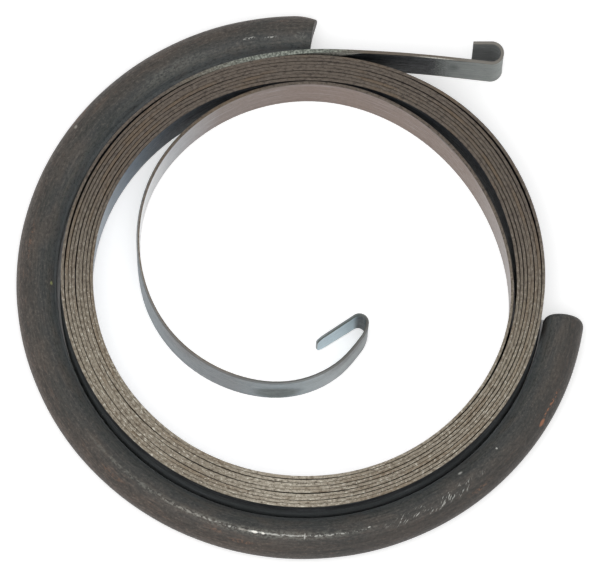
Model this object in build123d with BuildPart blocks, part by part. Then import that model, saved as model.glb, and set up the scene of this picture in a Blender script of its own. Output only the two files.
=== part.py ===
"""Recoil starter spring, wound and held in its retainer ring.

The spring is one flat steel strip stood on its edge: an outer hook, close turns, a free inner turn
and an inner hook. An open ring of round bar lies round the outer turn and keeps it wound. The
origin is on the surface that both lie on, at the centre of the coil, and +Z is up.
"""
from build123d import *
import os
from math import cos, pi

# Strip
strip_width = 10.0
strip_thickness = 0.5
turn_gap = 0.18

# Close turns, counted from where the tail meets the coil, straight behind its centre
coil_radius = 45.1
tail_angle = 90.0
close_turns = 8.625
points_per_turn = 24

# Each side of the strip is drawn in this many arcs a turn
arcs_per_turn = 16

# The coil is pressed in beside the tail, less so in its inner turns
flat_depth = 1.7
flat_fade = 0.05
flat_angle = 107.0
flat_angle_to_tail = 65.0
flat_angle_beyond = 125.0

# The outer turn stands off the next one in two places, each a centre and a reach in turns
slack = 0.3
slack_places = [(0.17, 0.16), (0.85, 0.12)]

# Free inner turn: angles, and how far it stands in from where a close turn would be
free_turn = [
    (0, 0.4), (30, 1.4), (60, 1.1), (90, 0.1), (120, 1.4), (150, 4.2),
    (180, 8.3), (210, 12.1), (240, 15.4), (270, 18.0), (300, 20.9), (317.2, 22.4),
]

# Inner hook, which catches on the reel
lead_in_radius = 6.0
lead_in_angle = 28.6
inner_bend_radius = 1.5
inner_bend_angle = 132.7
inner_leg = 8.5
inner_tip_rounding = 2.0

# Tail: distances from the coil's centre, and how far it stands out from the coil's radius there
tail = [(31.5, 0.92), (16.0, 1.2), (7.0, 0.95), (0.0, 0.48)]

# Outer hook, which catches in the starter housing
outer_bend_radius = 1.98
outer_bend_angle = 187.0
outer_leg = 3.4

# Retainer ring
ring_bar_diameter = 7.6
ring_clearance = 0.06
ring_start_angle = 91.9
ring_end_angle = 357.8
ring_start_slant_angle = 8.0
ring_start_waste_angle = 6.0
ring_start_rounding = 0.7
ring_end_rounding = 1.5

turn_pitch = strip_thickness + turn_gap


def bump(distance, reach):
    """A smooth hump of height 1 at distance 0, gone at the reach."""
    return cos(pi / 2 * distance / reach) ** 2 if abs(distance) < reach else 0.0


def wound_radius(turns):
    """Radius of the strip's centreline after so many close turns."""
    angle = (tail_angle + 360 * turns - flat_angle + 180) % 360 - 180
    flat_half_angle = flat_angle_beyond if angle > 0 else flat_angle_to_tail
    pressed_in = (flat_depth - flat_fade * turns) * bump(angle, flat_half_angle)
    stood_off = slack * sum(bump(turns - place, reach) for place, reach in slack_places)
    return coil_radius - turn_pitch * turns - pressed_in + stood_off


def on_circle(radius, angle):
    return Vector(radius, 0).rotate(Axis.Z, angle)


def centreline_points():
    """Plan points of the coil's centreline, from the tail to the inner hook."""
    straight = [Vector(along, wound_radius(0) + stand_out) for along, stand_out in tail]
    close = [
        on_circle(wound_radius(step / points_per_turn), tail_angle + 360 * step / points_per_turn)
        for step in range(1, round(close_turns * points_per_turn) + 1)
    ]
    free = []
    for angle, stand_in in free_turn:
        turns = int(close_turns) + 1 + (angle - tail_angle) / 360
        free.append(on_circle(wound_radius(turns) - stand_in, angle))
    return straight + close + free


def coil_side(centreline, offset):
    """Draws one side of the coil, at an offset to the left of the centreline, in short arcs."""
    arcs = round((close_turns + 1) * arcs_per_turn)
    places = [step / (2 * arcs) for step in range(2 * arcs + 1)]
    points = [
        centreline.position_at(place) + centreline.tangent_at(place).rotate(Axis.Z, 90) * offset
        for place in places
    ]
    through = zip(points[0:-2:2], points[1::2], points[2::2])
    side = [ThreePointArc(*three, mode=Mode.PRIVATE) for three in through]
    add(side)
    return side


def hook_side(start, direction, offset, bends, leg):
    """One side of a hook that bends left, drawn from the coil to the hook's tip."""
    for radius, turn in bends:
        bend = JernArc(start, direction, radius - offset, turn)
        start = bend @ 1
        direction = bend % 1
    return Line(start, start + direction * leg) @ 1


def make_spring():
    """The whole strip, drawn in plan and raised to its width."""
    inner_bends = [(lead_in_radius, lead_in_angle), (inner_bend_radius, inner_bend_angle)]
    outer_bends = [(outer_bend_radius, outer_bend_angle)]
    with BuildLine() as route:
        Spline(*centreline_points())
    centreline = route.edges()[0]
    with BuildPart() as spring:
        with BuildSketch():
            with BuildLine():
                inner_tips = []
                outer_tips = []
                for offset in (strip_thickness / 2, -strip_thickness / 2):
                    arcs = coil_side(centreline, offset)
                    inner_end, outer_end = arcs[-1], arcs[0]
                    inner_tips.append(
                        hook_side(inner_end @ 1, inner_end % 1, offset, inner_bends, inner_leg)
                    )
                    outer_tips.append(
                        hook_side(outer_end @ 0, -(outer_end % 0), -offset, outer_bends, outer_leg)
                    )
                Line(*inner_tips)
                Line(*outer_tips)
            make_face()
        extrude(amount=strip_width)
        tip_centre = (inner_tips[0] + inner_tips[1]) / 2 + Vector(0, 0, strip_width / 2)
        tip_face = spring.faces().sort_by_distance(tip_centre)[0]
        fillet(tip_face.edges().filter_by(Plane.XY), inner_tip_rounding)
    spring.part.label = "spring_strip"
    return spring.part


def make_ring():
    """The open retainer ring, its first end sheared at a slant and both ends rounded over."""
    widest = max(wound_radius(step / points_per_turn) for step in range(1, points_per_turn))
    bar_radius = ring_bar_diameter / 2
    ring_radius = widest + strip_thickness / 2 + ring_clearance + bar_radius
    blank_start_angle = ring_start_angle - ring_start_waste_angle
    cut_plane = Plane(
        origin=on_circle(ring_radius, ring_start_angle) + Vector(0, 0, bar_radius),
        z_dir=on_circle(1, ring_start_angle + 90 - ring_start_slant_angle),
    )
    with BuildPart() as ring:
        with BuildSketch(Plane.XZ.rotated((0, 0, blank_start_angle))):
            with Locations((ring_radius, bar_radius)):
                Circle(bar_radius)
        revolve(axis=Axis.Z, revolution_arc=ring_end_angle - blank_start_angle)
        with Locations(cut_plane):
            Box(
                2 * ring_bar_diameter, 2 * ring_bar_diameter, 2 * ring_bar_diameter,
                align=(Align.CENTER, Align.CENTER, Align.MAX), mode=Mode.SUBTRACT,
            )
        cut_ends = ring.faces().filter_by(GeomType.PLANE).sort_by(Axis.X)
        fillet(cut_ends[0].edges(), ring_start_rounding)
        cut_ends = ring.faces().filter_by(GeomType.PLANE).sort_by(Axis.X)
        fillet(cut_ends[-1].edges(), ring_end_rounding)
    ring.part.label = "retainer_ring"
    return ring.part


os.makedirs("parts", exist_ok=True)
for piece in (make_spring(), make_ring()):
    export_step(piece, f"parts/{piece.label}.step")
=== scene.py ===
"""Looks of a recoil starter spring, wound and held in its retainer ring.

The strip and the ring are drawn again here, finer than the frame's solids and with the wear that the
real ones show. Lengths are in millimetres until a mesh is made. Plan angles are in degrees from +X
towards +Y, and turns count from where the tail meets the coil.
"""
import math

import bpy
import numpy as np
from mathutils import Matrix, Vector, noise


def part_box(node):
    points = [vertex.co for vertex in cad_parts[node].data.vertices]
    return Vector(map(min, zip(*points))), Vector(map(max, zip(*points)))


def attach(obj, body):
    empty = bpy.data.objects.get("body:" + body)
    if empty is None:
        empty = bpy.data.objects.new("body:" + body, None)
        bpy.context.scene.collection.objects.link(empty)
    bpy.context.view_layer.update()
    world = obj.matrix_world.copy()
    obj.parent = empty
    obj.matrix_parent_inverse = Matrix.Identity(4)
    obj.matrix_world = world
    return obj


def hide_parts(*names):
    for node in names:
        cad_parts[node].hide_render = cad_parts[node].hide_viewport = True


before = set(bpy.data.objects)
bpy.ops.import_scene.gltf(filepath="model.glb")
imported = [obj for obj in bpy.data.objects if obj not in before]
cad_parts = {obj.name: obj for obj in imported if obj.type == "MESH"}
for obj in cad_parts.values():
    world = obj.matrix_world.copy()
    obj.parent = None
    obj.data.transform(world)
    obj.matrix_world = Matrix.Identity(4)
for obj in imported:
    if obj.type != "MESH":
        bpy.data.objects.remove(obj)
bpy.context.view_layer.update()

MM = 0.001

# Sizes read from the solids
strip_low, strip_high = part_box("spring_strip")
ring_low, ring_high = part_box("retainer_ring")
strip_width = (strip_high.z - strip_low.z) / MM
bar_radius = (ring_high.z - ring_low.z) / MM / 2
ring_radius = -ring_low.x / MM - bar_radius

# The strip and its close turns, as in the solid. The coil is pressed in beside the tail, less so in its
# inner turns, and its outer turn stands off in two places: turns and reach.
strip_thickness = 0.5
turn_pitch = 0.68
coil_radius = 45.1
tail_angle = 90.0
close_turns = 8.625
points_per_turn = 24
flat_depth = 1.7
flat_fade = 0.05
flat_angle = 107.0
flat_reach_to_tail = 65.0
flat_reach_beyond = 125.0
slack = 0.3
slack_places = [(0.17, 0.16), (0.85, 0.12)]

# The tail: how far right of the centre, and how far out from the coil's radius
tail = [(31.5, 0.92), (16.0, 1.2), (7.0, 0.95), (0.0, 0.48)]

# The free turn: plan angle, and how far in from where a close turn would be
free_turn = [
    (0, 0.4), (30, 1.4), (60, 1.1), (90, 0.1), (120, 1.4), (150, 4.2),
    (180, 8.3), (210, 12.1), (240, 15.4), (270, 18.0), (300, 20.9), (317.2, 22.4),
]

# Hooks: each bend a radius and a turn to the left, then a straight leg
outer_bends = [(1.98, 187.0)]
outer_leg = 3.4
inner_bends = [(6.0, 28.6), (1.5, 132.7)]
inner_leg = 8.5
inner_tip_rounding = 2.0

# Edges of the strip: their rounding, and a burr that starts at so much below them. It changes round some
# plan angles (angle, reach and change) and is peened out round a place along the strip, from the outer
# hook. Just below the rounding the strip shows a share of its edge's finish.
edge_rounding = 0.1
finish_below_edge = 0.6
burr_height = 0.5
edge_burr = 0.04
burr_places = [(165.0, 40.0, -0.02), (230.0, 45.0, 0.015), (-30.0, 60.0, -0.03)]
peened_burr = 0.17
peened_place = 43.0
peened_reach = 22.0

# Wander of the turns. To and fro it is less in the first turn and fades out between two counts of turns.
# In height it lowers the upper edge only.
turn_wander = 0.07
turn_wander_length = 22.0
turn_wander_seed = 3.1
turn_wander_gain = 2.2
first_turn_wander = 0.3
wander_fade = (8.6, 9.0)
height_wander = 0.07
height_wander_length = 60.0
height_wander_seed = 7.7

# Close turns that lie further in than drawn: plan angle, reach, and how far for the outer turn and for
# the inner one. This fades out between two counts of turns.
drawn_in_places = [
    (235.0, 100.0, 0.42, 0.3), (325.0, 60.0, 0.2, 0.0), (345.0, 40.0, 0.0, -0.3),
]
drawn_in_fade = (9.0, 9.1)

# Lean of the free turn: turns, and how far back its foot lies there. The inner hook leans more, up to
# its tip. The foot stands in at one place and the rim stands out at another: turns, reach and distance.
lean = [(9.1, 0.0), (9.45, 0.6)]
inner_hook_lean = 1.3
inner_hook_length = 14.5
foot_in = (9.235, 0.055, 0.22)
rim_out = (9.3, 0.15, 0.12)

# Ring. Its first end is sheared at a slant, dished, and rolled in on its outer side. Its dents are so
# long along the bar, outwards and upwards.
ring_start_angle = 91.9
ring_end_angle = 357.8
ring_start_slant = 8.0
ring_start_dish = 0.3
ring_start_rounding = 0.25
ring_end_rounding = 1.5
rolled_in_depth = 0.85
rolled_in_length = 3.7
dent_depth = 0.04
dent_size = (9.0, 3.0, 3.0)

# Marks on the ring: plan angle, angle round the bar from its outer side over its top, half a length,
# half a width, paint and strength. Those with a half length over longest_whole_mark are broken up.
ring_marks = [
    # The first eleven run along the crown: worn scratches, with a painted highlight and its soft halo
    # over them.
    (268, 80, 24.0, 1.1, "dull", 0.7),
    (244, 81, 24.0, 0.55, "dull", 0.7),
    (252, 80.5, 14.0, 0.28, "grey", 0.7),
    (270, 80, 20.0, 0.22, "silver", 1.0),
    (262, 80, 1.5, 0.2, "grey", 0.8),
    (268, 80, 1.5, 0.2, "silver", 0.8),
    (273, 80, 1.5, 0.18, "silver", 0.8),
    (264.5, 79, 0.8, 0.34, "white", 1.0),
    (266.4, 79, 0.45, 0.28, "white", 0.9),
    (275.2, 79, 0.22, 0.75, "silver", 0.9),
    (289.2, 84, 0.35, 0.16, "silver", 0.9),
    (337.8, 44, 4.8, 0.34, "rust", 1.0),
    (333.4, 39, 1.1, 0.5, "rust", 1.0),
    (313.5, 44, 2.8, 0.5, "brown", 0.8),
    (312.8, 118, 0.6, 0.35, "silver", 0.8),
    (322.5, 100, 0.25, 0.25, "silver", 1.0),
    (185.4, 136, 0.5, 0.4, "lichen", 0.9),
    (149.2, 48, 0.5, 0.5, "grey", 0.9),
    (143.1, 16, 0.8, 0.6, "grey", 0.8),
    (147.0, 30, 4.0, 0.9, "brown", 0.6),
    (176.0, 62, 5.0, 0.4, "brown", 0.7),
    (262.0, 45, 3.0, 0.5, "brown", 0.7),
    (256.0, 60, 2.5, 0.4, "brown", 0.6),
    (232.0, 50, 4.0, 0.6, "brown", 0.5),
    (125.0, 112, 10.0, 1.6, "dull", 0.5),
    (106.2, 102, 1.8, 0.24, "silver", 0.9),
    (101.6, 107, 1.8, 0.2, "silver", 0.8),
    (95.0, 108, 1.6, 1.0, "dull", 0.8),
    (93.6, 28, 1.6, 1.6, "brown", 0.6),
]
longest_whole_mark = 1.5
paints = {
    "white": (250, 248, 240),
    "silver": (184, 184, 178),
    "grey": (150, 146, 138),
    "dull": (112, 112, 106),
    "rust": (150, 104, 80),
    "brown": (116, 92, 78),
    "lichen": (170, 174, 120),
}

# Where slanting scuffs cluster: plan angle, angle round the bar, half a length and half a width
scuffed_place = (304.5, 76, 12.5, 1.5)
scuff_strength = 0.95

# How dull the steel is: its roughness where the mottle is low and high, and its relief in metres
steel_specular = 0.25
spring_roughness = (0.42, 0.62)
spring_relief = 0.00003
free_turn_metallic = 0.25
ring_roughness = (0.45, 0.62)
ring_relief = 0.00006

# Fineness of the meshes: steps in millimetres, counts of points, heights as shares of the strip's width,
# the hole that each end of the ring is closed over as a share of its radius, and the angle in degrees
# from which an edge is sharp
coil_step = 1.4
hook_step = 0.22
corner_points = 4
side_heights = (0.25, 0.5, 0.75)
ring_step = 0.55
ring_sides = 72
ring_end_rows = 9
ring_rounding_rows = 8
ring_end_hole = 0.02
sharp_angle = 50

# A point so many steps on from the outer hook lies in the first turn
first_turn_steps = 60

# Studio: distances, the camera's clipping and the floor in metres, what the camera sees in millimetres
camera_distance = 3.0
camera_elevation = 71.6
camera_roll = 4.84
camera_sensor = 36.0
camera_clip = (0.1, 20.0)
view_width = 111.1
view_centre = (-0.22, 0.893, 0.0)
world_seen = 1.0
world_light = 0.56
floor_glow = 0.45
floor_colour = (0.86, 0.86, 0.86, 1)
floor_size = 12.0
floor_drop = 0.00002

# The floor has no glow of its own under the part: from one radius to another, which is the ring's foot,
# or the coil's where the ring is open. The opening lies right of an x and behind a y.
no_glow_from = 38.9
no_glow_to_ring = 48.3
no_glow_to_coil = 44.8
opening_from_x = -2.0
opening_from_y = -1.3

# Lamps: name, azimuth, elevation, distance and size in metres, and light
lamps = [("key", -35, 55, 0.7, 0.5, 0.14), ("front", 0, 68, 0.9, 0.6, 0.34)]


def linear(red, green, blue):
    """A colour as a screen shows it, 0 to 255, as the shaders take it."""
    return tuple(((c / 255 + 0.055) / 1.055) ** 2.4 for c in (red, green, blue)) + (1.0,)


def bump(distance, reach):
    """A smooth hump of height 1 at distance 0, gone at the reach."""
    return math.cos(math.pi / 2 * distance / reach) ** 2 if abs(distance) < reach else 0.0


def smooth_step(low, high, value):
    share = np.clip((value - low) / (high - low), 0, 1)
    return share * share * (3 - 2 * share)


def plan_angle(point):
    return math.degrees(math.atan2(point[1], point[0]))


def angle_apart(angle, other):
    """How far an angle is from another, the short way round."""
    return (angle - other + 180) % 360 - 180


def running_length(line):
    """How far along a line each of its points is."""
    return np.concatenate(([0.0], np.cumsum(np.linalg.norm(np.diff(line, axis=0), axis=1))))


def wound_radius(turns):
    """Radius of the strip's centreline after so many close turns."""
    angle = angle_apart(tail_angle + 360 * turns, flat_angle)
    flat_reach = flat_reach_beyond if angle > 0 else flat_reach_to_tail
    pressed_in = (flat_depth - flat_fade * turns) * bump(angle, flat_reach)
    stood_off = slack * sum(bump(turns - place, reach) for place, reach in slack_places)
    return coil_radius - turn_pitch * turns - pressed_in + stood_off


def on_circle(radius, angle):
    return radius * np.array([math.cos(math.radians(angle)), math.sin(math.radians(angle))])


def coil_points():
    """Plan points of the coil's centreline, from the tail to the inner hook."""
    straight = [np.array([along, wound_radius(0) + stand_out]) for along, stand_out in tail]
    close = [
        on_circle(wound_radius(step / points_per_turn), tail_angle + 360 * step / points_per_turn)
        for step in range(1, round(close_turns * points_per_turn) + 1)
    ]
    free = []
    for angle, stand_in in free_turn:
        turns = int(close_turns) + 1 + (angle - tail_angle) / 360
        free.append(on_circle(wound_radius(turns) - stand_in, angle))
    return np.array(straight + close + free)


def evenly_spaced(line, step):
    """Points along a fine line, as near to the step apart as comes out even."""
    along = running_length(line)
    places = np.linspace(0, along[-1], round(along[-1] / step) + 1)
    return np.stack([np.interp(places, along, line[:, axis]) for axis in range(2)], axis=1)


def natural_spline(points, fineness=60):
    """The smooth line through plan points, free of bending at its ends."""
    chords = np.linalg.norm(np.diff(points, axis=0), axis=1)
    system = np.eye(len(points))
    turning = np.zeros_like(points)
    for i in range(1, len(points) - 1):
        system[i, i - 1:i + 2] = chords[i - 1], 2 * (chords[i - 1] + chords[i]), chords[i]
        slope_before = (points[i] - points[i - 1]) / chords[i - 1]
        slope_after = (points[i + 1] - points[i]) / chords[i]
        turning[i] = 6 * (slope_after - slope_before)
    bending = np.linalg.solve(system, turning)
    share = np.arange(fineness)[:, None] / fineness
    pieces = []
    for i, chord in enumerate(chords):
        left, right = (1 - share) * chord, share * chord
        cubic = (bending[i] * left ** 3 + bending[i + 1] * right ** 3) / (6 * chord)
        from_left = (points[i] / chord - bending[i] * chord / 6) * left
        from_right = (points[i + 1] / chord - bending[i + 1] * chord / 6) * right
        pieces.append(cubic + from_left + from_right)
    return np.concatenate(pieces + [points[-1:]])


def hook(start, towards, bends, leg):
    """Plan points of a hook that leaves a point in a direction and bends left."""
    points = []
    heading = math.atan2(towards[1], towards[0])
    place = start
    for radius, turn in bends:
        steps = math.ceil(radius * math.radians(turn) / hook_step)
        centre = place + radius * np.array([-math.sin(heading), math.cos(heading)])
        for _ in range(steps):
            heading += math.radians(turn) / steps
            place = centre + radius * np.array([math.sin(heading), -math.cos(heading)])
            points.append(place)
    steps = math.ceil(leg / hook_step)
    for _ in range(steps):
        place = place + leg / steps * np.array([math.cos(heading), math.sin(heading)])
        points.append(place)
    return np.array(points)


def strip_line():
    """Plan points of the whole strip from outer tip to inner tip, and how many are the outer hook's."""
    coil = evenly_spaced(natural_spline(coil_points()), coil_step)
    outer = hook(coil[0], coil[0] - coil[1], outer_bends, outer_leg)
    inner = hook(coil[-1], coil[-1] - coil[-2], inner_bends, inner_leg)
    return np.concatenate([outer[::-1], coil, inner]), len(outer)


def strip_section():
    """The strip's outline on edge, as points across it and up it.

    Each point also has the share of the edge's burr that it stands out by and of the edge's finish.
    """
    half = strip_thickness / 2
    side = [(half, strip_width * share, 0.0, 0.0) for share in side_heights]
    upper = [
        (half, strip_width - burr_height, 0.0, 0.0),
        (half, strip_width - 2 * edge_rounding, 1.0, finish_below_edge),
    ]
    for angle in np.linspace(0, math.pi / 2, corner_points):
        across = half - edge_rounding + edge_rounding * math.cos(angle)
        height = strip_width - edge_rounding + edge_rounding * math.sin(angle)
        upper.append((across, height, 1.0, 1.0))
    foot = [(across, strip_width - height, burr, finish) for across, height, burr, finish in upper]
    right = foot[::-1] + side + upper
    left = [(-across, height, -burr, finish) for across, height, burr, finish in reversed(right)]
    return right + left


def burred_out(from_hook, point):
    """How wide the edge's burr is, most where it is peened beside the tail."""
    burr = edge_burr + peened_burr * bump(from_hook - peened_place, peened_reach)
    for place, reach, change in burr_places:
        burr += change * bump(angle_apart(plan_angle(point), place), reach)
    return burr


def drawn_in(turns, point):
    """How far the close turns lie further in than drawn."""
    inward = 0.0
    for place, reach, outer_turn, inner_turn in drawn_in_places:
        share = bump(angle_apart(plan_angle(point), place), reach)
        inward += share * np.interp(turns, (0, close_turns), (outer_turn, inner_turn))
    return inward * (1 - smooth_step(*drawn_in_fade, turns))


def wandered_in(along, turns):
    """How far the turns stray inwards from their line."""
    free_to_stray = first_turn_wander if turns < 1 else 1.0 - smooth_step(*wander_fade, turns)
    stray = turn_wander_gain * noise.noise((along / turn_wander_length, turn_wander_seed, 0.0))
    return turn_wander * free_to_stray * np.clip(stray, -1, 1)


def sunk(along):
    """How far the strip's upper edge dips, as a length below zero."""
    stray = noise.noise((along / height_wander_length, height_wander_seed, 0.0))
    return height_wander * (stray - 1) / 2


def splay(turns, up):
    """How far the free turn stands in at a height, which is a share of the strip's width."""
    at_foot, at_rim = (
        distance * bump(turns - place, reach) for place, reach, distance in (foot_in, rim_out)
    )
    return at_foot * (1 - up) - at_rim * up


def turns_along(line, hook_points):
    """Turns at each point of the strip's line, counted from a point that lies in the first one."""
    turns = np.unwrap(np.arctan2(line[:, 1], line[:, 0])) / (2 * math.pi)
    known = hook_points + first_turn_steps
    known_turns = ((plan_angle(line[known]) - tail_angle) % 360) / 360
    return turns + (known_turns - turns[known])


def leant_back(to_tip, turns):
    """How far back the strip's foot lies at each point of its line."""
    leant = np.interp(turns, *zip(*lean))
    hooked = to_tip < inner_hook_length
    leant[hooked] += (inner_hook_lean - lean[-1][1]) * (1 - to_tip[hooked] / inner_hook_length)
    return leant


def tucked_in(to_tip):
    """How much the inner tip's rounded corners take off each edge of the strip."""
    past_tip = np.maximum(inner_tip_rounding - to_tip, 0)
    return inner_tip_rounding - np.sqrt(np.maximum(inner_tip_rounding ** 2 - past_tip ** 2, 0))


def left_of(line):
    """The direction to the left of a line at each of its points, which is inwards in the coil."""
    heading = np.gradient(line, axis=0)
    heading /= np.linalg.norm(heading, axis=1)[:, None]
    return np.stack([-heading[:, 1], heading[:, 0]], axis=1)


def strip_mesh():
    """The worn strip's points, row by row from its outer tip, and what its material reads at each."""
    line, hook_points = strip_line()
    along = running_length(line)
    from_hook = along - along[hook_points]
    to_tip = along[-1] - along
    turns = turns_along(line, hook_points)
    leant = leant_back(to_tip, turns)
    tuck = tucked_in(to_tip)
    leftward = left_of(line)
    section = strip_section()
    vertices, places, plans, courses, edges = [], [], [], [], []
    for i, point in enumerate(line):
        sway = wandered_in(along[i], turns[i]) + drawn_in(turns[i], point)
        dip = sunk(along[i])
        burr_width = burred_out(from_hook[i], point)
        for across, height, burr, finish in section:
            level = min(max(height, tuck[i]), strip_width - tuck[i])
            up = level / strip_width
            plan = point + leftward[i] * (across + burr * burr_width + sway + splay(turns[i], up))
            vertices.append((plan[0], plan[1] + leant[i] * (1 - up), level + dip * up))
            places.append((along[i], across, height))
            plans.append((point[0], point[1], height))
            courses.append((from_hook[i], to_tip[i], turns[i]))
            edges.append(finish)
    values = {"place": places, "plan": plans, "course": courses, "edge": edges}
    return np.array(vertices), len(section), values


def grid_object(name, vertices, columns, seamed=False):
    """An object of rows of points joined into a tube, with its ends capped.

    A seamed one has its first point again as its last in each row, so that values can start afresh.
    """
    rows = len(vertices) // columns
    sides = columns - 1 if seamed else columns
    faces = []
    for row in range(rows - 1):
        here, above = row * columns, (row + 1) * columns
        for column in range(sides):
            beside = (column + 1) % columns
            faces.append((here + column, here + beside, above + beside, above + column))
    faces.append(tuple(reversed(range(sides))))
    faces.append(tuple(range((rows - 1) * columns, (rows - 1) * columns + sides)))
    mesh = bpy.data.meshes.new(name)
    mesh.from_pydata((vertices * MM).tolist(), [], faces)
    mesh.update()
    made = bpy.data.objects.new(name, mesh)
    bpy.context.scene.collection.objects.link(made)
    return made


def give_values(made, name, values):
    """Stores a number, or a vector, at each vertex for the material to read."""
    values = np.asarray(values, np.float32)
    kind, field = ("FLOAT", "value") if values.ndim == 1 else ("FLOAT_VECTOR", "vector")
    made.data.attributes.new(name, kind, "POINT").data.foreach_set(field, values.ravel())


def finish_mesh(made, values):
    """Gives an object the values that its material reads, and smooth shading."""
    for name, numbers in values.items():
        give_values(made, name, numbers)
    made.data.shade_smooth()
    made.data.set_sharp_from_angle(angle=math.radians(sharp_angle))


def make_spring():
    vertices, columns, values = strip_mesh()
    made = grid_object("worn_spring", vertices, columns)
    finish_mesh(made, values)
    return made


def ring_end(rounding):
    """How far in from an end of the bar and how far from its axis the skin runs."""
    shares = np.linspace(ring_end_hole, 1, ring_end_rows)
    flat = [(0.0, share * (bar_radius - rounding)) for share in shares]
    curve = [
        (rounding * (1 - math.cos(angle)), bar_radius - rounding * (1 - math.sin(angle)))
        for angle in np.linspace(0, math.pi / 2, ring_rounding_rows)[1:]
    ]
    return flat + curve


def ring_profile():
    """How far along the bar and how far from its axis the ring's skin runs, end to end."""
    length = math.radians(ring_end_angle - ring_start_angle) * ring_radius
    start = ring_end(ring_start_rounding)
    finish = [(length - inset, radius) for inset, radius in reversed(ring_end(ring_end_rounding))]
    steps = round((finish[0][0] - start[-1][0]) / ring_step)
    body = [(place, bar_radius) for place in np.linspace(start[-1][0], finish[0][0], steps + 1)[1:-1]]
    return start + body + finish


def dent_at(*place):
    """How far the ring's skin is dented in, as a length below zero."""
    grain = [length / size for length, size in zip(place, dent_size)]
    return dent_depth * (noise.noise(grain) - 1)


def ring_mesh():
    """The bar bent round the coil, its sheared start, its rounded end and its dents."""
    slope = math.tan(math.radians(ring_start_slant))
    vertices, places, wheres = [], [], []
    for along, radius in ring_profile():
        near_start = max(0.0, 1 - along / rolled_in_length)
        for column in range(ring_sides + 1):
            section = 2 * math.pi * column / ring_sides - math.pi / 2
            outward = radius * math.cos(section)
            upward = radius * math.sin(section)
            hollow = ring_start_dish * (1 - (outward / bar_radius) ** 2) * near_start ** 2
            shift = (hollow - outward * slope) * near_start
            rolled = rolled_in_depth * near_start ** 2 * max(0.0, outward / bar_radius) ** 2
            dented = 1 + dent_at(along, outward, upward) / bar_radius
            angle = math.radians(ring_start_angle) + (along + shift) / ring_radius
            reach = ring_radius + outward * dented - rolled
            height = bar_radius + upward * dented
            vertices.append((reach * math.cos(angle), reach * math.sin(angle), height))
            places.append((along, outward, upward))
            wheres.append((angle * ring_radius, section * bar_radius, 0.0))
    return np.array(vertices), {"place": places, "where": wheres}


def make_ring():
    vertices, values = ring_mesh()
    made = grid_object("worn_ring", vertices, ring_sides + 1, seamed=True)
    finish_mesh(made, values)
    return made


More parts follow.
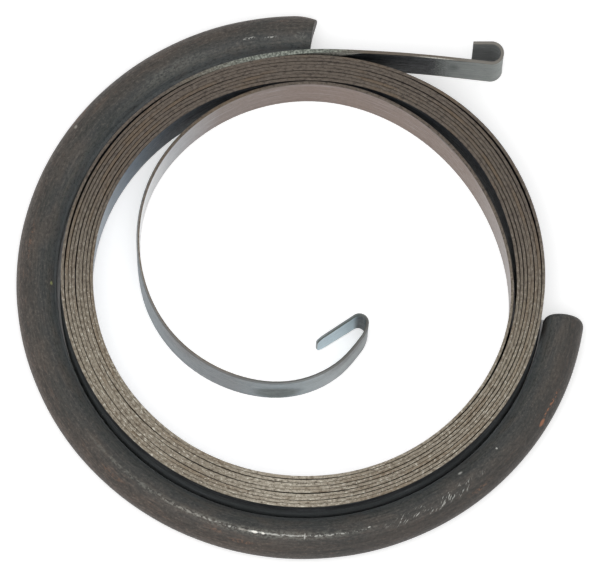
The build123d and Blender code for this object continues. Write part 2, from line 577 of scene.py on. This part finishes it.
class Finish:
    """A material and short ways to add its nodes."""

    def __init__(self, name):
        self.material = bpy.data.materials.new(name)
        self.material.use_nodes = True
        self.nodes = self.material.node_tree.nodes
        self.shader = self.nodes["Principled BSDF"]

    def put(self, value, socket):
        """Links an output to a socket, or sets the socket to a plain value."""
        if isinstance(value, bpy.types.NodeSocket):
            self.material.node_tree.links.new(value, socket)
        else:
            socket.default_value = value

    def stored(self, name, field="Vector"):
        """A value that the mesh stores at its points."""
        node = self.nodes.new("ShaderNodeAttribute")
        node.attribute_name = name
        return node.outputs[field]

    def parts(self, vector):
        node = self.nodes.new("ShaderNodeSeparateXYZ")
        self.put(vector, node.inputs[0])
        return node.outputs[0], node.outputs[1], node.outputs[2]

    def vector_maths(self, operation, *values):
        node = self.nodes.new("ShaderNodeVectorMath")
        node.operation = operation
        for value, socket in zip(values, node.inputs):
            self.put(value, socket)
        return node.outputs["Value" if operation in ("LENGTH", "DOT_PRODUCT") else "Vector"]

    def combined(self, *values):
        """A vector made of up to three numbers."""
        node = self.nodes.new("ShaderNodeCombineXYZ")
        for value, socket in zip(values, node.inputs):
            self.put(value, socket)
        return node.outputs[0]

    def maths(self, operation, *values):
        node = self.nodes.new("ShaderNodeMath")
        node.operation = operation
        for value, socket in zip(values, node.inputs):
            self.put(value, socket)
        return node.outputs[0]

    def times(self, *values):
        product = values[0]
        for value in values[1:]:
            product = self.maths("MULTIPLY", product, value)
        return product

    def noise(self, vector, scale, detail=3.0, roughness=0.6, field="Fac"):
        """Noise from 0 to 1 whose grain is about so many to the millimetre along each axis."""
        node = self.nodes.new("ShaderNodeTexNoise")
        self.put(self.vector_maths("MULTIPLY", vector, scale), node.inputs["Vector"])
        node.inputs["Scale"].default_value = 1.0
        node.inputs["Detail"].default_value = detail
        node.inputs["Roughness"].default_value = roughness
        return node.outputs[field]

    def between(self, value, low, high, to_low=0.0, to_high=1.0, kind="SMOOTHSTEP"):
        """A value's change from to_low where it is low to to_high where it is high."""
        node = self.nodes.new("ShaderNodeMapRange")
        node.interpolation_type = kind
        self.put(value, node.inputs["Value"])
        ends = {"From Min": low, "From Max": high, "To Min": to_low, "To Max": to_high}
        for socket, number in ends.items():
            self.put(number, node.inputs[socket])
        return node.outputs["Result"]

    def near(self, value, centre, reach):
        """1 where a value is at the centre, 0 from the reach on."""
        away = self.maths("ABSOLUTE", self.maths("SUBTRACT", value, centre))
        return self.between(away, reach, 0.0)

    def spot(self, vector, centre, reach, softness=0.6):
        """1 inside an oval patch, fading to 0 at its rim."""
        scale = tuple(1 / length for length in reach)
        offset = tuple(-place / length for place, length in zip(centre, reach))
        away = self.vector_maths("LENGTH", self.vector_maths("MULTIPLY_ADD", vector, scale, offset))
        return self.between(away, 1.0, 1.0 - softness)

    def mix(self, share, first, second):
        node = self.nodes.new("ShaderNodeMix")
        node.data_type = "RGBA"
        self.put(share, node.inputs[0])
        self.put(first, node.inputs[6])
        self.put(second, node.inputs[7])
        return node.outputs[2]

    def ramp(self, value, low, high, stops):
        """A colour that changes along a value from low to high, by stops of a value and a colour."""
        node = self.nodes.new("ShaderNodeValToRGB")
        self.put(self.between(value, low, high, kind="LINEAR"), node.inputs[0])
        elements = node.color_ramp.elements
        while len(elements) < len(stops):
            elements.new(1.0)
        for element, (place, colour) in zip(elements, stops):
            element.position = (place - low) / (high - low)
            element.color = linear(*colour)
        return node.outputs[0]

    def coat(self, colour, paint, *shares):
        """A colour under a coat of paint, which is as strong as the product of its shares."""
        return self.mix(self.times(*shares), colour, linear(*paint))

    def dull_steel(self, colour, mottle, roughness, relief):
        """Steel of a colour, with a roughness and a relief that follow its mottle."""
        self.put(colour, self.shader.inputs["Base Color"])
        self.put(self.between(mottle, 0.3, 0.7, *roughness), self.shader.inputs["Roughness"])
        self.shader.inputs["Specular IOR Level"].default_value = steel_specular
        bumps = self.nodes.new("ShaderNodeBump")
        bumps.inputs["Strength"].default_value = 1.0
        bumps.inputs["Distance"].default_value = relief
        self.put(mottle, bumps.inputs["Height"])
        self.put(bumps.outputs[0], self.shader.inputs["Normal"])


def inner_face(finish, plan, course, specks):
    """The colours of the side that faces the coil's centre, and of the hook that it ends in."""
    along, to_tip, turns = finish.parts(course)
    x, _, height = finish.parts(plan)
    # Painted shade at the darkest stop, where the face lies behind the free turn, and painted
    # reflections of the white surroundings in the pale bluish and pinkish greys beyond it.
    colour = finish.ramp(turns, 8.0, 9.3, [
        (8.09, (34, 40, 48)),
        (8.125, (74, 82, 90)),
        (8.17, (140, 154, 168)),
        (8.22, (214, 222, 230)),
        (8.6, (186, 182, 184)),
        (8.75, (180, 174, 172)),
        (8.86, (138, 122, 113)),
        (9.0, (132, 115, 106)),
        (9.08, (132, 120, 114)),
        (9.13, (174, 175, 178)),
        (9.2, (250, 251, 252)),
    ])
    beside_tail = finish.between(along, 75.0, 60.0)
    colour = finish.coat(colour, (18, 22, 26), beside_tail)
    # Painted light: the top of the tail's face, down in the gap, is given bright speckles that make up
    # for the gap's shade.
    lit_down_to = finish.between(x, 3.0, 9.0, 7.9, 9.95)
    below = finish.maths("SUBTRACT", height, lit_down_to)
    painted_light_band = finish.times(finish.between(along, 58.0, 46.0), finish.between(below, -0.08, 0.08))
    lit_speckles = finish.mix(finish.between(specks, 0.35, 0.65), linear(170, 168, 156), linear(250, 247, 236))
    colour = finish.mix(painted_light_band, colour, lit_speckles)
    ragged = finish.times(finish.maths("SUBTRACT", specks, 0.5), 7.0)
    outer_hook = finish.between(finish.maths("ADD", along, ragged), 11.5, 7.0)
    colour = finish.coat(colour, (138, 143, 140), outer_hook)
    smudge = finish.spot(plan, (24.8, 44.0, 5.5), (1.6, 3.0, 3.0), 0.8)
    colour = finish.coat(colour, (74, 82, 80), smudge, 0.7)
    # Painted shade: a dark line just under the tail's rim.
    shade_under_rim = finish.times(finish.near(height, 9.45, 0.45), finish.near(x, 24.6, 4.5))
    colour = finish.coat(colour, (24, 26, 26), shade_under_rim, 0.8)
    inner_hook = finish.between(to_tip, 14.0, 12.6)
    colour = finish.coat(colour, (52, 60, 62), inner_hook)
    inner_leg_face = finish.between(to_tip, 9.4, 8.0)
    return finish.coat(colour, (206, 224, 232), inner_leg_face)


def outer_face(finish, plan, course):
    """The colours of the side that faces away from the coil's centre."""
    along, to_tip, turns = finish.parts(course)
    _, y, height = finish.parts(plan)
    # Painted light: beside the ring the face is darker at its top and lighter towards the ring, to make
    # up for the shade of the crevice between coil and ring.
    painted_light_beside_ring = finish.ramp(height, 0.0, strip_width, [
        (5.2, (90, 94, 95)),
        (5.9, (80, 84, 85)),
        (6.6, (68, 71, 72)),
        (8.2, (30, 32, 34)),
    ])
    hidden = finish.coat(painted_light_beside_ring, (62, 66, 70), finish.between(y, -14.0, -4.0))
    hidden = finish.coat(hidden, (20, 22, 24), finish.between(turns, 1.0, 1.05))
    colour = finish.ramp(turns, 9.1, 9.7, [
        (9.16, (150, 160, 168)),
        (9.3, (143, 150, 154)),
        (9.42, (130, 134, 136)),
        (9.48, (142, 154, 159)),
        (9.56, (162, 169, 171)),
        (9.62, (140, 146, 148)),
    ])
    colour = finish.mix(finish.between(turns, 9.16, 9.08), colour, hidden)
    upper_half = finish.times(finish.between(height, 4.5, 8.5), finish.between(turns, 9.53, 9.58))
    colour = finish.coat(colour, (100, 103, 102), upper_half, 0.75)
    green_patch = finish.spot(plan, (-3.2, -19.5, 3.4), (5.8, 3.4, 5.4), 0.4)
    colour = finish.coat(colour, (78, 88, 86), green_patch, 0.95)
    brown_start = finish.spot(plan, (-19.0, -13.0, 9.0), (8.0, 8.0, 5.0), 0.9)
    colour = finish.coat(colour, (118, 108, 98), brown_start, 0.5)
    outer_hook = finish.between(along, 2.0, 0.0)
    return finish.coat(colour, (119, 122, 121), outer_hook)


def streaked_face(finish, face, streaks, mottle):
    """A face's colours with dark and light streaks along it and a dark mottle."""
    darker = finish.coat(face, (60, 58, 60), 0.55)
    lighter = finish.coat(face, (215, 218, 222), 0.35)
    face = finish.mix(finish.between(streaks, 0.5, 0.7, 0.0, 0.5), face, darker)
    face = finish.mix(finish.between(streaks, 0.48, 0.32, 0.0, 0.5), face, lighter)
    return finish.mix(finish.between(mottle, 0.55, 0.75, 0.0, 0.4), face, darker)


def flecked_rim(finish, plan, mottle, specks, patches):
    """The colours of the strip's edges: brown behind, painted lighter to beige in front as a reflection
    of the white surroundings, with deep and pale flecks.
    """
    x, y, _ = finish.parts(plan)
    # Painted reflection: the rim is lighter towards the front, most of all at the front middle.
    front = finish.between(y, 22.0, -24.0)
    rim = finish.mix(front, linear(97, 88, 79), linear(142, 133, 118))
    deep = finish.mix(front, linear(56, 49, 45), linear(92, 82, 70))
    pale = finish.mix(front, linear(122, 114, 106), linear(226, 222, 208))
    brightest = finish.times(finish.near(x, 1.0, 17.0), finish.between(y, -30.0, -36.0))
    rim = finish.coat(rim, (186, 178, 162), brightest, 0.6)
    rim = finish.mix(finish.between(mottle, 0.5, 0.38, 0.0, 0.85), rim, deep)
    rim = finish.mix(finish.between(mottle, 0.54, 0.68, 0.0, 0.7), rim, pale)
    rim = finish.coat(rim, (112, 92, 68), finish.between(patches, 0.5, 0.65, 0.0, 0.35))
    rim = finish.mix(finish.between(specks, 0.64, 0.72, 0.0, 0.85), rim, pale)
    return finish.coat(rim, (50, 43, 38), finish.between(specks, 0.36, 0.28, 0.0, 0.75))


def worn_tail_rim(finish, rim, plan, course, across, specks):
    """The rim's colours with the wear of the tail: peened, greyed at the hook, bright at a corner with
    wear and a painted highlight.
    """
    along, _, _ = finish.parts(course)
    x, _, _ = finish.parts(plan)
    silvery = finish.mix(finish.between(specks, 0.38, 0.66), linear(86, 90, 84), linear(152, 157, 147))
    peened = finish.times(finish.between(along, 66.0, 40.0), finish.between(along, 22.0, 32.0))
    greyed = finish.coat(rim, (112, 106, 98), 0.5)
    rim = finish.mix(finish.between(along, 32.0, 20.0), rim, greyed)
    rim = finish.mix(peened, rim, silvery)
    rim = finish.coat(rim, (128, 126, 120), finish.between(along, 9.0, 3.0, 0.0, 0.75))
    inner_corner = finish.times(finish.between(across, 0.08, 0.2), finish.between(along, 40.0, 34.0))
    # A bright line on the inner corner: wear, with a painted highlight on it.
    worn_and_glinting = finish.times(finish.near(x, 21.3, 5.0), finish.between(specks, 0.35, 0.55, 0.4, 0.9))
    return finish.coat(rim, (226, 226, 216), worn_and_glinting, inner_corner)


def free_turn_rim(finish, rim, face, course, across):
    """The rim's colours with those of the free turn, where its outer corner looks like the face."""
    _, to_tip, turns = finish.parts(course)
    rim = finish.coat(rim, (72, 84, 84), finish.between(turns, 9.40, 9.46), 0.85)
    rolled_over = finish.times(finish.between(turns, 9.12, 9.3), finish.between(across, 0.06, -0.12))
    rim = finish.mix(rolled_over, rim, face)
    darker = finish.times(finish.between(turns, 9.22, 9.3), finish.between(to_tip, 9.0, 12.0))
    return finish.coat(rim, (92, 88, 84), darker, 0.6)


def spring_finish():
    """Worn spring steel: brown to beige on its edges, blue black to pale grey on its faces."""
    finish = Finish("spring_steel")
    place, plan, course = finish.stored("place"), finish.stored("plan"), finish.stored("course")
    edge = finish.stored("edge", "Fac")
    _, _, turns = finish.parts(course)
    _, across, _ = finish.parts(place)
    streaks = finish.noise(place, (0.10, 4.0, 3.0), detail=4.0)
    mottle = finish.noise(place, (1.3, 2.6, 2.6), detail=4.0, roughness=0.7)
    specks = finish.noise(place, (2.6, 4.5, 4.5), detail=1.5)
    patches = finish.noise(place, (0.07, 0.25, 0.25))

    outer, inner = outer_face(finish, plan, course), inner_face(finish, plan, course, specks)
    face = finish.mix(finish.between(across, -0.05, 0.05), outer, inner)
    face = streaked_face(finish, face, streaks, mottle)
    rim = flecked_rim(finish, plan, mottle, specks, patches)
    rim = worn_tail_rim(finish, rim, plan, course, across, specks)
    rim = free_turn_rim(finish, rim, face, course, across)
    colour = finish.mix(finish.between(edge, 0.2, 0.8), face, rim)
    finish.dull_steel(colour, mottle, spring_roughness, spring_relief)
    metallic = finish.between(turns, 9.0, 9.1, 0.0, free_turn_metallic)
    finish.put(metallic, finish.shader.inputs["Metallic"])
    return finish.material


def mill_scale(finish, place, turned, section, mottle):
    """The ring's skin: brown grey outside, dark on its crown and painted pale inside to make up for the
    shade between ring and coil, in mottled scale, with painted shade on its outer side from the front
    round to its end.
    """
    streaks = finish.noise(place, (0.06, 2.2, 2.2), detail=4.0)
    dashes = finish.noise(place, (0.45, 3.0, 3.0), detail=3.0)
    patches = finish.noise(place, (0.12, 0.3, 0.3))
    # Painted light: from about 145 to 175 degrees round the bar the inner side is pale, making up for
    # the shade between the ring and the coil.
    colour = finish.ramp(section, -90.0, 270.0, [
        (-20.0, (62, 56, 52)),
        (20.0, (77, 70, 65)),
        (55.0, (70, 66, 62)),
        (85.0, (66, 65, 62)),
        (105.0, (68, 69, 68)),
        (125.0, (84, 86, 84)),
        (145.0, (104, 109, 110)),
        (160.0, (180, 186, 187)),
        (175.0, (200, 205, 206)),
        (190.0, (112, 112, 110)),
        (215.0, (70, 67, 64)),
        (260.0, (62, 56, 52)),
    ])
    bare_end = finish.times(finish.between(turned, 298.5, 302.0), finish.between(section, 120.0, 150.0))
    colour = finish.coat(colour, (74, 77, 77), bare_end)
    light, dark = (128, 120, 112), (34, 35, 35)
    colour = finish.coat(colour, (104, 92, 82), finish.between(patches, 0.42, 0.7, 0.0, 0.3))
    colour = finish.coat(colour, (52, 56, 54), finish.between(patches, 0.45, 0.3, 0.0, 0.3))
    colour = finish.coat(colour, dark, finish.between(streaks, 0.5, 0.68, 0.0, 0.25))
    colour = finish.coat(colour, light, finish.between(streaks, 0.48, 0.32, 0.0, 0.15))
    colour = finish.coat(colour, dark, finish.between(dashes, 0.52, 0.7, 0.0, 0.3))
    outer_half = finish.between(section, 100.0, 50.0)
    reddish = finish.between(dashes, 0.46, 0.34, 0.0, 0.3)
    colour = finish.coat(colour, (120, 98, 86), reddish, outer_half)
    colour = finish.coat(colour, dark, finish.between(mottle, 0.5, 0.64, 0.0, 0.42))
    colour = finish.coat(colour, light, finish.between(mottle, 0.46, 0.34, 0.0, 0.3))
    freckles = finish.times(finish.between(section, 60.0, 25.0), finish.between(mottle, 0.4, 0.32))
    colour = finish.coat(colour, (128, 100, 80), freckles, 0.3)
    # Painted shade on the outer half, from the front round to the ring's end.
    painted_shade_front = finish.between(turned, 215.0, 245.0)
    return finish.coat(colour, (54, 55, 54), painted_shade_front, outer_half, 0.45)


def patch_on_ring(finish, where, angle, section_angle, half_length, half_width):
    """1 inside an oval patch of the ring's skin, fading to 0 at its rim."""
    centre = (math.radians(angle) * ring_radius, math.radians(section_angle) * bar_radius, 0.0)
    return finish.spot(where, centre, (half_length, half_width, 1.0))


def marked_scale(finish, colour, place, ragged_where):
    """The ring's colours with its marks, of which the longer ones are broken up."""
    broken = finish.between(finish.noise(place, (1.8, 2.5, 2.5), detail=2.0), 0.42, 0.6)
    for angle, section_angle, half_length, half_width, paint, strength in ring_marks:
        patch = (angle, section_angle, half_length, half_width)
        inside = patch_on_ring(finish, ragged_where, *patch)
        if half_length > longest_whole_mark:
            inside = finish.times(inside, broken)
        colour = finish.coat(colour, paints[paint], inside, strength)
    return colour


def scuffed_scale(finish, colour, place, where, ragged_where):
    """The ring's colours with its cluster of slanting silver scuffs."""
    slanting = finish.combined(
        finish.vector_maths("DOT_PRODUCT", where, (0.9, 0.6, 0.0)),
        finish.vector_maths("DOT_PRODUCT", where, (-0.6, 0.9, 0.0)),
    )
    strokes = finish.between(finish.noise(slanting, (0.7, 3.2, 1.0), detail=2.0), 0.55, 0.66)
    clustered = finish.between(finish.noise(place, (0.45, 0.8, 0.8), detail=1.0), 0.42, 0.56)
    scuffed = finish.times(clustered, patch_on_ring(finish, ragged_where, *scuffed_place))
    return finish.coat(colour, paints["silver"], strokes, scuffed, scuff_strength)


def ring_finish():
    """Dark mill scale with its inner shoulder painted pale against the shade beside the coil, a painted
    highlight along worn scratches on its crown, scuffs, bright nicks and rust.
    """
    finish = Finish("dark_steel")
    place, where = finish.stored("place"), finish.stored("where")
    turned, around, _ = finish.parts(where)
    section = finish.times(around, math.degrees(1 / bar_radius))
    mottle = finish.noise(place, (1.5, 2.4, 2.4), detail=4.0, roughness=0.75)
    ragged = finish.noise(place, (1.0, 1.0, 1.0), field="Color")
    offset = finish.vector_maths("MULTIPLY_ADD", ragged, (0.5, 0.5, 0.0), (-0.25, -0.25, 0.0))
    ragged_where = finish.vector_maths("ADD", where, offset)

    colour = mill_scale(finish, place, turned, section, mottle)
    colour = marked_scale(finish, colour, place, ragged_where)
    colour = scuffed_scale(finish, colour, place, where, ragged_where)
    finish.dull_steel(colour, mottle, ring_roughness, ring_relief)
    return finish.material


def lit_only_by_sight(tree, strength_for_sight, strength_for_light):
    """A strength that camera, mirror and see-through rays read as one value and light as another."""
    nodes, links = tree.nodes, tree.links
    path = nodes.new("ShaderNodeLightPath")
    seen = path.outputs["Is Camera Ray"]
    for kind in ("Is Glossy Ray", "Is Transmission Ray"):
        either = nodes.new("ShaderNodeMath")
        either.operation = "MAXIMUM"
        links.new(seen, either.inputs[0])
        links.new(path.outputs[kind], either.inputs[1])
        seen = either.outputs[0]
    choose = nodes.new("ShaderNodeMapRange")
    links.new(seen, choose.inputs["Value"])
    choose.inputs["To Min"].default_value = strength_for_light
    choose.inputs["To Max"].default_value = strength_for_sight
    return choose.outputs["Result"]


def make_world():
    """Even white light from all round, which looks white wherever it is seen."""
    world = bpy.data.worlds.new("studio")
    world.use_nodes = True
    background = world.node_tree.nodes["Background"]
    background.inputs["Color"].default_value = (1, 1, 1, 1)
    strength = lit_only_by_sight(world.node_tree, world_seen, world_light)
    world.node_tree.links.new(strength, background.inputs["Strength"])
    bpy.context.scene.world = world


def make_floor():
    """A wide pale floor that looks white apart from the object's shadow.

    It has no glow of its own under the part, where the slots between the turns look down on it.
    """
    half = floor_size / 2
    mesh = bpy.data.meshes.new("floor")
    corners = [(-half, -half, 0), (half, -half, 0), (half, half, 0), (-half, half, 0)]
    mesh.from_pydata(corners, [], [(0, 1, 2, 3)])
    floor = bpy.data.objects.new("floor", mesh)
    bpy.context.scene.collection.objects.link(floor)
    floor.location.z = -floor_drop
    finish = Finish("floor")
    finish.shader.inputs["Base Color"].default_value = floor_colour
    finish.shader.inputs["Roughness"].default_value = 1.0
    finish.shader.inputs["Specular IOR Level"].default_value = 0.0
    finish.shader.inputs["Emission Color"].default_value = (1, 1, 1, 1)
    position = finish.nodes.new("ShaderNodeNewGeometry").outputs["Position"]
    from_centre = finish.vector_maths("LENGTH", position)
    x, y, _ = finish.parts(position)
    right_part = finish.maths("GREATER_THAN", x, opening_from_x * MM)
    back_part = finish.maths("GREATER_THAN", y, opening_from_y * MM)
    in_opening = finish.times(right_part, back_part)
    covered_to = finish.between(in_opening, 0.0, 1.0, no_glow_to_ring * MM, no_glow_to_coil * MM)
    inside = finish.maths("LESS_THAN", from_centre, no_glow_from * MM)
    outside = finish.maths("GREATER_THAN", from_centre, covered_to)
    in_sight = lit_only_by_sight(finish.material.node_tree, floor_glow, 0.0)
    glow = finish.times(in_sight, finish.maths("ADD", inside, outside))
    finish.put(glow, finish.shader.inputs["Emission Strength"])
    mesh.materials.append(finish.material)


def direction(azimuth, elevation):
    """The way from the object to something at that azimuth, 0 in front and 90 to the right."""
    across, up = math.radians(azimuth), math.radians(elevation)
    return Vector((math.sin(across) * math.cos(up), -math.cos(across) * math.cos(up), math.sin(up)))


def make_lamp(name, azimuth, elevation, distance, size, light):
    """A soft square lamp that adds so much light to a surface facing it."""
    data = bpy.data.lights.new(name, "AREA")
    data.size = size
    data.energy = light * math.pi ** 2 * distance ** 2
    lamp = bpy.data.objects.new(name, data)
    bpy.context.scene.collection.objects.link(lamp)
    back = direction(azimuth, elevation)
    lamp.location = back * distance
    lamp.rotation_euler = (-back).to_track_quat("-Z", "Y").to_euler()


def make_camera():
    """A long lens at the photograph's angle, turned a little about its own axis."""
    data = bpy.data.cameras.new("camera")
    data.sensor_width = camera_sensor
    data.lens = data.sensor_width * camera_distance / (view_width * MM)
    data.clip_start, data.clip_end = camera_clip
    camera = bpy.data.objects.new("camera", data)
    bpy.context.scene.collection.objects.link(camera)
    back = direction(0, camera_elevation)
    camera.location = Vector(view_centre) * MM + back * camera_distance
    facing = (-back).to_track_quat("-Z", "Y").to_matrix()
    camera.rotation_euler = (facing @ Matrix.Rotation(math.radians(camera_roll), 3, "Z")).to_euler()
    bpy.context.scene.camera = camera


bpy.context.scene.view_settings.view_transform = "Standard"
make_camera()
make_world()
make_floor()
for lamp in lamps:
    make_lamp(*lamp)

spring = make_spring()
spring.data.materials.append(spring_finish())
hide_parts("spring_strip")
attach(spring, "root")

ring = make_ring()
ring.data.materials.append(ring_finish())
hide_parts("retainer_ring")
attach(ring, "root")
